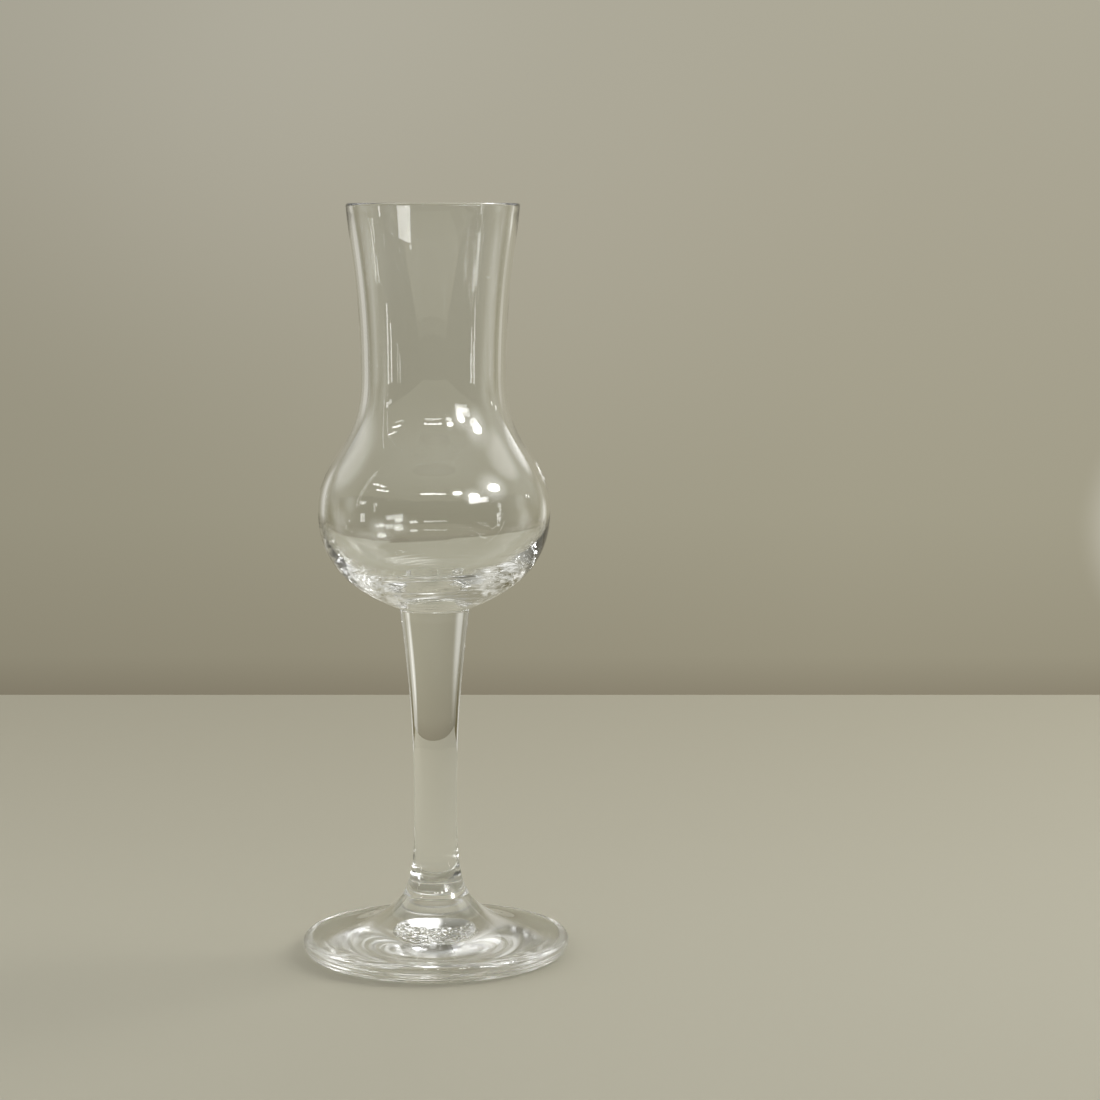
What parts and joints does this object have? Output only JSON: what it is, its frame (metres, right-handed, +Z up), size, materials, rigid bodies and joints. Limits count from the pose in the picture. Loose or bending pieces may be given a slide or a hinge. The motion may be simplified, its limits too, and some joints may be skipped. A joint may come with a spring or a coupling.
{
  "type": "stemmed grappa glass",
  "caption": "Small clear stemmed glass for grappa: round bulb with a tall flared chimney, solid tapered stem and thick round foot.",
  "frame": {"origin": "on the table, under the middle of the foot", "axes": "+Z up along the axis of the stem, from the foot to the rim; -Y to the front, the side to which the shallow mark under the foot lies off the middle; +X to the right. In all else the glass is round"},
  "size_m": [0.0614, 0.0614, 0.1725],
  "materials": {
    "blown_glass": "clear, blown and fire-polished",
    "drawn_glass": "clear, drawn and fire-polished",
    "pressed_glass": "clear, pressed and fire-polished, with a rough tool mark underneath"
  },
  "bodies": {
    "root": {"bowl": "blown_glass", "stem": "drawn_glass", "foot": "pressed_glass"}
  },
  "joints": []
}
